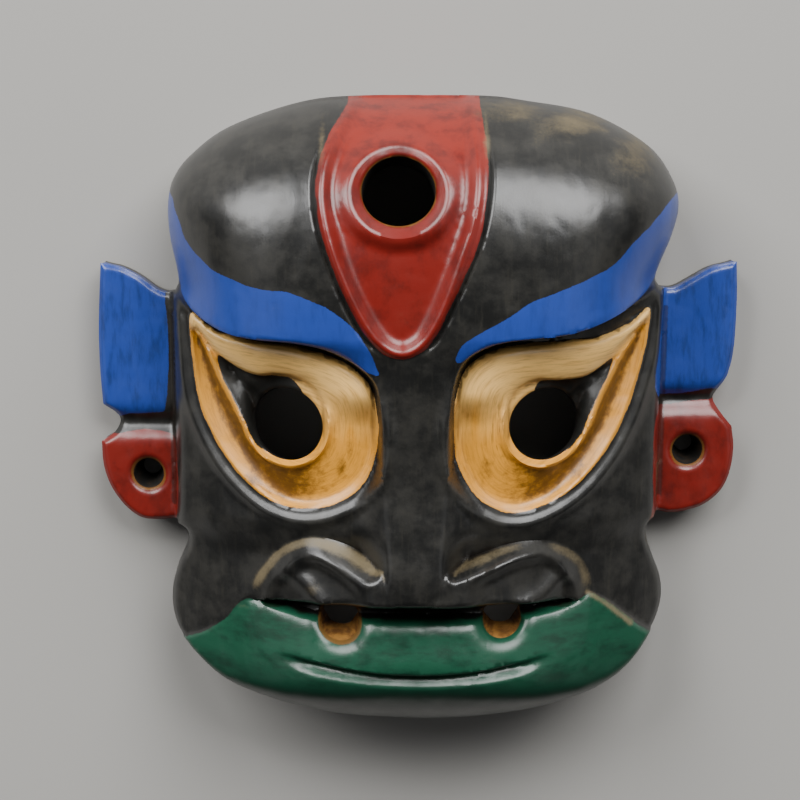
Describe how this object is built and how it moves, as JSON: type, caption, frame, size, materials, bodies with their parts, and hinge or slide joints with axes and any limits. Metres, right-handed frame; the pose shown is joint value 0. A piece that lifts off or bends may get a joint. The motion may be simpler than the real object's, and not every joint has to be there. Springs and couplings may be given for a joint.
{
  "type": "nuo mask",
  "caption": "Carved and painted wooden nuo mask of a three-eyed ogre face with ears, pierced eyes and nostrils and a hollow back, lying on its flat rim.",
  "frame": {"origin": "under the middle of the mask's box, on the plane of its flat back rim", "axes": "+X to the viewer's right across the ears, +Y towards the forehead, +Z out of the face"},
  "size_m": [0.24, 0.2323, 0.0796],
  "materials": {
    "painted_wood": "black lacquer with red, blue, ochre and green paint, satin and worn"
  },
  "bodies": {
    "root": {"mask": "painted_wood"}
  },
  "joints": []
}
